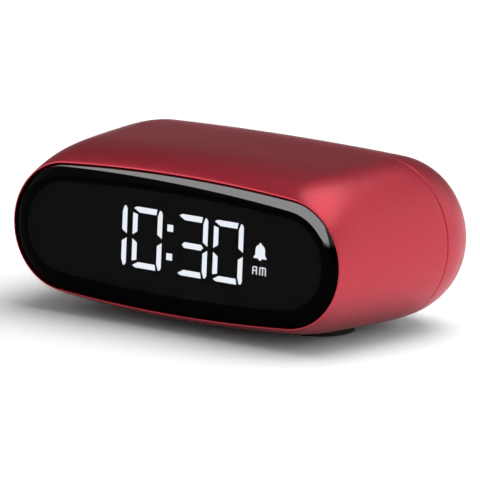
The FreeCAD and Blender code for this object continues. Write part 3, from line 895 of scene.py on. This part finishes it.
@dataclass
class ControlPanel:
    """The openings of the control panel and the words and signs printed on it."""

    button_x: tuple[float, ...] = (-5.5, 2.5, 10.5, 18.5)
    button_r: float = 2.6
    running_gap: float = 0.08
    slide_x: float = -15.5
    slide_reach: float = 2.6
    slide_half_h: float = 1.48
    slide_corner: float = 0.2
    slot_x: float = -27.0
    slots: int = 5
    slot_pitch: float = 1.8
    slot_w: float = 0.9
    slot_h: float = 7.0
    usb_x: float = 28.5
    usb_w: float = 8.94
    usb_h: float = 3.26
    usb_gap: float = 0.23
    near_y: float = 50.0
    far_y: float = 56.0
    panel_y: float = 53.2
    inner_y: float = 51.2
    proud: float = 0.6
    dish: float = 0.22
    dish_shares: tuple[float, ...] = (0.9, 0.75, 0.6, 0.45, 0.3, 0.15)
    edge_round: float = 0.25
    edge_steps: int = 6
    corner_points: int = 9
    flange_half: float = 3.2
    flange_thick: float = 1.0
    flange_corner: float = 0.3
    plunger_half: float = 1.5
    plunger_corner: float = 0.2
    plunger_reach: float = 1.2
    names: tuple[str, ...] = ("time_button", "alarm_button", "minus_button", "plus_button")
    signs: tuple[str, ...] = ("TIME", "ALARM", "\u2212", "+")
    sign_sizes: tuple[float, ...] = (1.75, 1.75, 3.0, 3.0)
    sign_z: float = 4.5
    switch_signs: tuple[tuple[str, float], ...] = (("ON", -17.3), ("OFF", -13.6))
    sign_thick: float = 0.03
    sign_gap: float = 0.005

    def bar(self, name: str, ring: list[Point]) -> bpy.types.Object:
        """A straight cutter through the panel.

        Args:
            name: Its name.
            ring: Its outline as (x, z).

        Returns:
            The cutter.
        """
        rings = [[Vector((x, y, z)) for x, z in ring] for y in (self.near_y, self.far_y)]
        return loft(name, rings, "red_shell")

    def rounded(self, x: float, z: float, half_w: float, half_h: float, corner: float) -> list[Point]:
        """The outline of a rectangle with round corners.

        Args:
            x: Its middle across.
            z: Its middle up.
            half_w: Half its width.
            half_h: Half its height.
            corner: The radius of its corners.

        Returns:
            Its points in order.
        """
        ring = []
        for sign_x, sign_z, first in ((1, 1, 0), (-1, 1, 90), (-1, -1, 180), (1, -1, 270)):
            for turn in steps(first, first + 90, self.corner_points):
                a = math.radians(turn)
                ring.append((x + sign_x * (half_w - corner) + corner * math.cos(a),
                             z + sign_z * (half_h - corner) + corner * math.sin(a)))
        return ring

    def buttons(self) -> list[bpy.types.Object]:
        """Make the four buttons: a dished cap, its flange and the plunger behind.

        Returns:
            One piece for each button.
        """
        made = []
        flange_y = self.inner_y - self.flange_thick
        front = self.panel_y + self.proud
        for name in self.names:
            low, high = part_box(name)
            x = (low.x + high.x) / 2 / MM
            outline = [(self.plunger_half, self.plunger_corner, flange_y - self.plunger_reach),
                       (self.plunger_half, self.plunger_corner, flange_y),
                       (self.flange_half, self.flange_corner, flange_y),
                       (self.flange_half, self.flange_corner, self.inner_y),
                       (self.button_r, self.button_r, self.inner_y)]
            for out, up in quarter(self.edge_steps):
                r = self.button_r - self.edge_round * out
                outline.append((r, r, front - self.edge_round * (1 - up)))
            for share in self.dish_shares:
                r = self.button_r * share - self.edge_round
                outline.append((r, r, front - self.dish * (1 - share ** 2)))
            rings = [[Vector((px, y, pz)) for px, pz in self.rounded(x, 0, half, half, corner)]
                     for half, corner, y in outline]
            piece = loft(f"{name}_cap", rings, "black_plastic")
            self.clean(piece.data)
            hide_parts(name)
            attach(piece, name)
            made.append(piece)
        return made

    def clean(self, mesh: bpy.types.Mesh) -> None:
        """Join corners that fall together where two round corners meet, and drop empty faces.

        Args:
            mesh: The mesh of a button cap.
        """
        whole = bmesh.new()
        whole.from_mesh(mesh)
        bmesh.ops.remove_doubles(whole, verts=whole.verts, dist=CAP_JOIN)
        bmesh.ops.dissolve_degenerate(whole, edges=whole.edges, dist=CAP_DROP)
        whole.to_mesh(mesh)
        whole.free()
        mesh.set_sharp_from_angle(angle=SHARP_ANGLE)

    def legends(self) -> bpy.types.Object:
        """Print the words and signs over the buttons and the alarm switch.

        Returns:
            The piece.
        """
        turn = Matrix(((-1, 0, 0), (0, 0, 1), (0, 1, 0)))
        whole = bmesh.new()
        signs = [(text, (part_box(name)[0].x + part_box(name)[1].x) / 2 / MM, size)
                 for text, name, size in zip(self.signs, self.names, self.sign_sizes)]
        signs += [(text, x, self.sign_sizes[0]) for text, x in self.switch_signs]
        for text, x, size in signs:
            curve = bpy.data.curves.new("sign", "FONT")
            curve.body = text
            curve.size = size
            curve.align_x = "CENTER"
            curve.align_y = "CENTER"
            curve.extrude = self.sign_thick / 2
            word = bpy.data.objects.new("sign", curve)
            bpy.context.scene.collection.objects.link(word)
            bpy.context.view_layer.update()
            flat = bpy.data.meshes.new_from_object(word)
            bpy.data.objects.remove(word)
            place = Vector((x, self.panel_y + self.sign_thick / 2 + self.sign_gap, self.sign_z))
            for vertex in flat.vertices:
                vertex.co = placed(turn @ vertex.co + place)
            whole.from_mesh(flat)
            bpy.data.meshes.remove(flat)
        bmesh.ops.remove_doubles(whole, verts=whole.verts, dist=SIGN_JOIN)
        bmesh.ops.dissolve_degenerate(whole, edges=whole.edges, dist=SIGN_DROP)
        bmesh.ops.recalc_face_normals(whole, faces=whole.faces)
        mesh = bpy.data.meshes.new("panel_legends")
        whole.to_mesh(mesh)
        whole.free()
        piece = dressed("panel_legends", mesh, "legend_ink")
        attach(piece, "case")
        return piece

    def openings(self) -> list[bpy.types.Object]:
        """The solids to cut out of the panel.

        Returns:
            One solid for each opening.
        """
        made = []
        hole = self.button_r + self.running_gap
        for i, x in enumerate(self.button_x):
            made.append(self.bar(f"button_cut_{i}", self.rounded(x, 0, hole, hole, hole)))
        half_w, half_h = self.slot_w / 2, self.slot_h / 2
        for i in range(self.slots):
            x = self.slot_x + (i - (self.slots - 1) / 2) * self.slot_pitch
            made.append(self.bar(f"sound_cut_{i}", self.rounded(x, 0, half_w, half_h, half_w)))
        ring = self.rounded(self.slide_x, 0, self.slide_reach, self.slide_half_h, self.slide_corner)
        made.append(self.bar("slide_cut", ring))
        half_w, half_h = self.usb_w / 2 + self.usb_gap, self.usb_h / 2 + self.usb_gap
        made.append(self.bar("usb_cut", self.rounded(self.usb_x, 0, half_w, half_h, half_h)))
        return made


@dataclass
class Display:
    """What the display shows: which bars are lit, and the letters of the morning sign."""

    lit: tuple[str, ...] = ("BC", "ABCDEF", "ABCDG", "ABCDEF")
    letter_y: float = 1.9
    letter_thick: float = 0.06
    letter_stroke: float = 0.27
    letter_h: float = 1.86
    letter_z: float = -3.94
    letter_a: Point = (20.40, 21.67)
    letter_m: Point = (22.31, 24.13)
    letter_cut: float = 0.3
    letter_bar: float = 0.42

    def letters(self, form: CaseForm) -> bpy.types.Object:
        """Make the letters A and M of the morning sign, just behind the lens.

        Args:
            form: The case's form, for the lean of its face.

        Returns:
            The piece.
        """
        s = self.letter_stroke
        low, high = self.letter_z, self.letter_z + self.letter_h
        bar = low + self.letter_bar * self.letter_h
        left, right = self.letter_a
        a_grid = ([left, left + s, right - s, right], [low, bar, bar + s, high - s, high])
        a_cells = [(0, 0), (0, 1), (0, 2), (0, 3), (2, 0), (2, 1), (2, 2), (2, 3), (1, 1), (1, 3)]
        left, right = self.letter_m
        middle = (left + right) / 2
        m_grid = ([left, left + s, middle - s / 2, middle + s / 2, right - s, right],
                  [low, high - s, high])
        m_cells = [(0, 0), (2, 0), (4, 0), (0, 1), (1, 1), (2, 1), (3, 1), (4, 1)]
        points: list[Vector] = []
        faces: list[tuple[int, ...]] = []
        for (xs, zs), cells, ends in ((a_grid, a_cells, (1,)), (m_grid, m_cells, (1, -1))):
            self.add_letter(form, points, faces, xs, zs, cells, ends)
        piece = mesh_piece("am_letters", points, faces, "lit_sign")
        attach(piece, "case")
        return piece

    def add_letter(self, form: CaseForm, points: list[Vector], faces: list[tuple[int, ...]],
                   xs: list[float], zs: list[float], cells: list[tuple[int, int]],
                   ends: tuple[int, ...]) -> None:
        """Add one letter made of the filled cells of a grid.

        Args:
            form: The case's form, for the lean of its face.
            points: The corners so far.
            faces: The faces so far.
            xs: The grid's upright lines.
            zs: The grid's level lines.
            cells: The filled cells, as column and row.
            ends: The sides whose top corner is cut: 1 for the left, -1 for the right.
        """
        first = len(points)
        columns = len(xs)
        corners = {(i, k): (x, z) for k, z in enumerate(zs) for i, x in enumerate(xs)}
        for end in ends:
            i = 0 if end == 1 else columns - 1
            x, z = corners[(i, len(zs) - 1)]
            corners[(i, len(zs) - 1)] = (x + end * self.letter_cut, z)
        order = {key: n for n, key in enumerate(sorted({(i + a, k + b) for i, k in cells
                                                        for a in (0, 1) for b in (0, 1)}))}
        for depth in (self.letter_y, self.letter_y + self.letter_thick):
            points += form.leant([corners[key] for key in order], depth)
        count = len(order)
        for i, k in cells:
            ring = [order[key] for key in ((i, k), (i + 1, k), (i + 1, k + 1), (i, k + 1))]
            faces.append(tuple(first + n for n in ring))
            faces.append(tuple(first + count + n for n in reversed(ring)))
            sides = (((0, 1), (i, k - 1)), ((1, 2), (i + 1, k)),
                     ((2, 3), (i, k + 1)), ((3, 0), (i - 1, k)))
            for (a, b), beside in sides:
                if beside not in cells:
                    faces.append((first + ring[a], first + ring[b],
                                  first + count + ring[b], first + count + ring[a]))

    def light_digits(self) -> None:
        """Give each lit bar of the digits the lit finish, and leave the others dark."""
        for number, bars in enumerate(self.lit, 1):
            name = f"digit_{number}"
            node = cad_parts[name]
            low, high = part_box(name)
            middle = (low + high) / 2
            half = (high - low) / 2
            mesh = node.data
            mesh.materials.clear()
            mesh.materials.append(MATERIALS["light_pipe"])
            mesh.materials.append(MATERIALS["lit_pipe"])
            for face_ids, centre in self.islands(mesh):
                across = (centre.x - middle.x) / half.x
                up = (centre.z - middle.z) / half.z
                nearest = min(Segment, key=lambda bar: math.dist(bar.value, (across, up)))
                if nearest.name in bars:
                    for i in face_ids:
                        mesh.polygons[i].material_index = 1
            log.info("%s lit as %s", name, bars)

    def islands(self, mesh: bpy.types.Mesh) -> list[tuple[list[int], Vector]]:
        """Split a mesh into its separate solids.

        Args:
            mesh: The mesh of a digit.

        Returns:
            The faces and the middle of each solid.
        """
        whole = bmesh.new()
        whole.from_mesh(mesh)
        bmesh.ops.remove_doubles(whole, verts=whole.verts, dist=BAR_JOIN)
        whole.faces.ensure_lookup_table()
        left = set(range(len(whole.faces)))
        found = []
        while left:
            todo = [left.pop()]
            group = []
            while todo:
                i = todo.pop()
                group.append(i)
                for edge in whole.faces[i].edges:
                    for face in edge.link_faces:
                        if face.index in left:
                            left.discard(face.index)
                            todo.append(face.index)
            corners = [v.co for i in group for v in whole.faces[i].verts]
            low = Vector(min(c[k] for c in corners) for k in range(3))
            high = Vector(max(c[k] for c in corners) for k in range(3))
            found.append((group, (low + high) / 2))
        whole.free()
        return found


@dataclass
class Camera:
    """The camera at the photograph's place."""

    target: Place = (3.85, 19.7, -1.31)
    yaw: float = 36.02
    pitch: float = 11.63
    roll: float = 1.19
    distance: float = 1734.0
    lens: float = 576.0
    sensor: float = 36.0
    near: float = 0.05
    far: float = 50.0

    def build(self) -> bpy.types.Object:
        """Make the camera and make it the scene's own.

        Returns:
            The camera.
        """
        yaw, pitch, roll = (math.radians(a) for a in (self.yaw, self.pitch, self.roll))
        back = Vector((math.sin(yaw) * math.cos(pitch), -math.cos(yaw) * math.cos(pitch),
                       math.sin(pitch)))
        level_right = (-back).cross(Vector((0, 0, 1))).normalized()
        level_up = level_right.cross(-back)
        right = level_right * math.cos(roll) + level_up * math.sin(roll)
        up = level_up * math.cos(roll) - level_right * math.sin(roll)
        data = bpy.data.cameras.new("photo_camera")
        data.lens = self.lens
        data.sensor_width = self.sensor
        data.clip_start = self.near
        data.clip_end = self.far
        camera = bpy.data.objects.new("photo_camera", data)
        turn = Matrix((right, up, back)).transposed().to_4x4()
        place = placed(Vector(self.target)) + back * self.distance * MM
        camera.matrix_world = Matrix.Translation(place) @ turn
        bpy.context.scene.collection.objects.link(camera)
        bpy.context.scene.camera = camera
        return camera


@dataclass(frozen=True)
class Softbox:
    """A soft lamp: its place and size in metres, its watts, and whether it lights matt surfaces."""

    name: str
    place: Place
    size: Point
    power: float
    lights_matt: bool = True


@dataclass
class Studio:
    """A plain floor that shows white, two soft lamps and the room's own light."""

    softboxes: tuple[Softbox, ...] = (
        Softbox("overhead_softbox", (0.25, 0.46, 1.6), (1.6, 1.3), 9.5),
        Softbox("front_softbox", (-1.6, -2.2, 1.7), (6.0, 3.4), 82.0, lights_matt=False))
    aim_height: float = 0.02
    floor_half: float = 6.0
    floor_gap: float = 0.00002
    floor_colour: float = 0.82
    camera_colour: float = 2.45
    mirror_colour: float = 1.9
    wall_way: Place = (0.707, 0.707, 0.0)
    wall_from: float = 0.45
    wall_to: float = 0.95
    room_dim: float = 0.14
    room_wall: float = 0.9
    paper_from: float = 0.0
    paper_to: float = 0.045

    def floor(self) -> bpy.types.Object:
        """Make the floor: pale for bounced light, and white to the camera but for the shadow.

        Returns:
            The floor.
        """
        half = self.floor_half
        mesh = bpy.data.meshes.new("floor")
        corners = [(-half, -half, 0), (half, -half, 0), (half, half, 0), (-half, half, 0)]
        mesh.from_pydata(corners, [], [(0, 1, 2, 3)])
        material = bpy.data.materials.new("floor_paper")
        material.use_nodes = True
        tree = material.node_tree
        tree.nodes.remove(tree.nodes["Principled BSDF"])
        diffuse = tree.nodes.new("ShaderNodeBsdfDiffuse")
        path = tree.nodes.new("ShaderNodeLightPath")
        links = tree.links
        colour = (self.floor_colour,) * 3
        for ray, level in (("Is Transmission Ray", self.mirror_colour),
                           ("Is Glossy Ray", self.mirror_colour),
                           ("Is Camera Ray", self.camera_colour)):
            colour = blended(tree, path.outputs[ray], colour, (level,) * 3)
        links.new(colour, diffuse.inputs["Color"])
        links.new(diffuse.outputs[0], tree.nodes["Material Output"].inputs["Surface"])
        mesh.materials.append(material)
        floor = bpy.data.objects.new("floor", mesh)
        floor.location.z = -self.floor_gap
        bpy.context.scene.collection.objects.link(floor)
        return floor

    def room(self) -> None:
        """Light the room: white paper at the horizon, a bright wall on the right, and dim above."""
        world = bpy.data.worlds.new("studio_room")
        world.use_nodes = True
        bpy.context.scene.world = world
        tree = world.node_tree
        links = tree.links
        place = tree.nodes.new("ShaderNodeTexCoord")
        split = tree.nodes.new("ShaderNodeSeparateXYZ")
        side = tree.nodes.new("ShaderNodeVectorMath")
        side.operation = "DOT_PRODUCT"
        side.inputs[1].default_value = self.wall_way
        links.new(place.outputs["Generated"], split.inputs[0])
        links.new(place.outputs["Generated"], side.inputs[0])
        wall = ramp(tree, side.outputs["Value"], (self.wall_from, self.wall_to),
                    (self.room_dim, self.room_wall))
        paper = ramp(tree, split.outputs["Z"], (self.paper_from, self.paper_to), (1.0, 0.0))
        mix = tree.nodes.new("ShaderNodeMix")
        mix.inputs[MIX_LEVEL_OVER].default_value = 1.0
        links.new(paper, mix.inputs[MIX_SHARE])
        links.new(wall, mix.inputs[MIX_LEVEL_UNDER])
        links.new(mix.outputs[MIXED_LEVEL], tree.nodes["Background"].inputs["Color"])

    def light(self) -> None:
        """Hang the lamps, each turned to the clock."""
        for box in self.softboxes:
            data = bpy.data.lights.new(box.name, "AREA")
            data.shape = "RECTANGLE"
            data.size, data.size_y = box.size
            data.energy = box.power
            lamp = bpy.data.objects.new(box.name, data)
            lamp.location = box.place
            aim = Vector((0, 0, self.aim_height)) - lamp.location
            lamp.rotation_euler = aim.to_track_quat("-Z", "Y").to_euler()
            lamp.visible_diffuse = box.lights_matt
            bpy.context.scene.collection.objects.link(lamp)


def dress_nodes() -> None:
    """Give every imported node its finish."""
    for name, key in NODE_FINISH.items():
        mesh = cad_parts[name].data
        mesh.materials.clear()
        mesh.materials.append(MATERIALS[key])
        log.info("%s has %s", name, key)


def main() -> None:
    """Build the clock's looks, piece by piece, and the studio round it."""
    logging.basicConfig(level=logging.INFO, format="%(message)s")
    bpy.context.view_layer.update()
    Camera().build()
    studio = Studio()
    studio.floor()
    studio.room()
    studio.light()
    dress_nodes()
    case = Case(CaseForm())
    panel = ControlPanel()
    display = Display()
    for piece in (case.front(), case.rear(panel.openings()), case.lens(), case.mask(),
                  display.letters(case.form), *panel.buttons(), panel.legends()):
        log.info("%s made", piece.name)
    display.light_digits()
    bpy.context.scene.view_settings.view_transform = "Standard"


if __name__ == "__main__":
    main()
